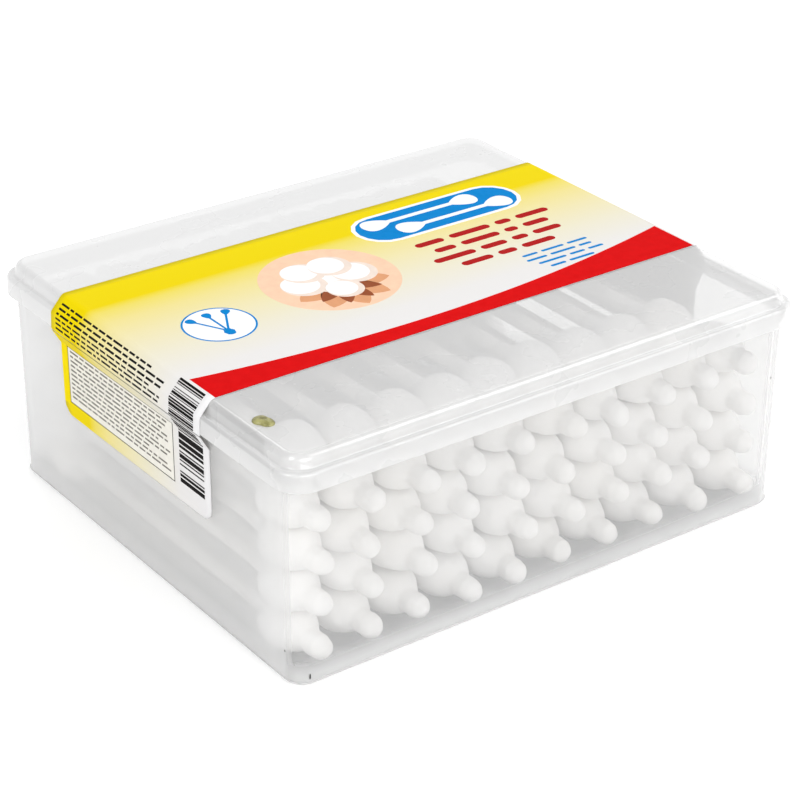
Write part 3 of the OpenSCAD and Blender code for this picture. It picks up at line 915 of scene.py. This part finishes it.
floorSet = {"half": 3.0, "below": -0.00005, "colour": 0.86, "lift": 0.3}
worldSet = {"lit": 0.65, "seen": 1.0}


# One where a ray comes from the camera, a mirror or clear plastic, and nought elsewhere
def seenRay(tree):
    rays = addNode(tree, "ShaderNodeLightPath").outputs
    first = combined(tree, "MAXIMUM", rays["Is Camera Ray"], rays["Is Glossy Ray"])
    return combined(tree, "MAXIMUM", first, rays["Is Transmission Ray"])


# Pale matt floor, which glows a little towards such rays and keeps the object's shadow
def floorMaterial():
    material, tree, shader = newMaterial(
        "paleFloor", Base_Color=(floorSet["colour"],) * 3 + (1,), Roughness=1.0, Specular_IOR_Level=0.0,
        Emission_Color=(1, 1, 1, 1))
    glow = combined(tree, "MULTIPLY", seenRay(tree), floorSet["lift"])
    tree.links.new(glow, shader.inputs["Emission Strength"])
    return material


floorMesh = bpy.data.meshes.new("floor")
corners = np.array([(-1, -1), (1, -1), (1, 1), (-1, 1)]) * floorSet["half"]
floorMesh.from_pydata([(x, y, floorSet["below"]) for x, y in corners.tolist()], [], [(0, 1, 2, 3)])
floorMesh.materials.append(floorMaterial())
floor = bpy.data.objects.new("floor", floorMesh)
bpy.context.scene.collection.objects.link(floor)

world = bpy.data.worlds.new("studio")
bpy.context.scene.world = world
world.use_nodes = True
sky = world.node_tree.nodes["Background"]
sky.inputs["Color"].default_value = (1, 1, 1, 1)
skyLevel = mapped(world.node_tree, seenRay(world.node_tree), (worldSet["lit"], worldSet["seen"]))
world.node_tree.links.new(skyLevel, sky.inputs["Strength"])

# Each lamp: azimuth and elevation in degrees, distance from the aim, width and height in metres, and watts
lampAim = Vector((0, 0, 0.02))
lampSet = {
    "keyLamp": (51, 42.5, 0.9, 0.5, 0.35, 1.6),
    "frontLamp": (-5, 20, 1.0, 1.0, 0.6, 4.6),
    "sideLamp": (-75, 30, 1.0, 0.3, 0.6, 2.4),
    "rimLamp": (150, 48, 0.9, 0.7, 0.12, 0.7),
}
for name, (azimuth, elevation, distance, width, height, watts) in lampSet.items():
    light = bpy.data.lights.new(name, "AREA")
    light.shape = "RECTANGLE"
    light.size, light.size_y, light.energy = width, height, watts
    lamp = bpy.data.objects.new(name, light)
    bpy.context.scene.collection.objects.link(lamp)
    a, e = math.radians(azimuth), math.radians(elevation)
    out = Vector((math.sin(a) * math.cos(e), -math.cos(a) * math.cos(e), math.sin(e)))
    lamp.location = lampAim + out * distance
    lamp.rotation_mode = "QUATERNION"
    lamp.rotation_quaternion = (-out).to_track_quat("-Z", "Y")

# The camera: angles in degrees, distance and target in millimetres, as fitted to the photo's edges
cameraSet = {"azimuth": -36.46, "elevation": 27.771, "roll": 0.453, "distance": 379.63,
             "target": (-4.487, -7.503, 20.0), "lens": 109.865, "sensor": 36, "clip": (0.01, 20)}
cameraData = bpy.data.cameras.new("camera")
camera = bpy.data.objects.new("camera", cameraData)
bpy.context.scene.collection.objects.link(camera)
a, e, r = (math.radians(cameraSet[k]) for k in ("azimuth", "elevation", "roll"))
back = np.array([math.sin(a) * math.cos(e), -math.cos(a) * math.cos(e), math.sin(e)])
right = np.cross(-back, (0, 0, 1))
right /= np.linalg.norm(right)
up = np.cross(right, -back)
right, up = math.cos(r) * right + math.sin(r) * up, -math.sin(r) * right + math.cos(r) * up
place = (np.array(cameraSet["target"]) + back * cameraSet["distance"]) * mm
matrix = np.eye(4)
matrix[:3, 0], matrix[:3, 1], matrix[:3, 2], matrix[:3, 3] = right, up, back, place
camera.matrix_world = Matrix(matrix.tolist())
cameraData.sensor_width, cameraData.lens = cameraSet["sensor"], cameraSet["lens"]
cameraData.clip_start, cameraData.clip_end = cameraSet["clip"]
bpy.context.scene.camera = camera
bpy.context.scene.view_settings.view_transform = "Standard"
print("stage, lights and camera made")
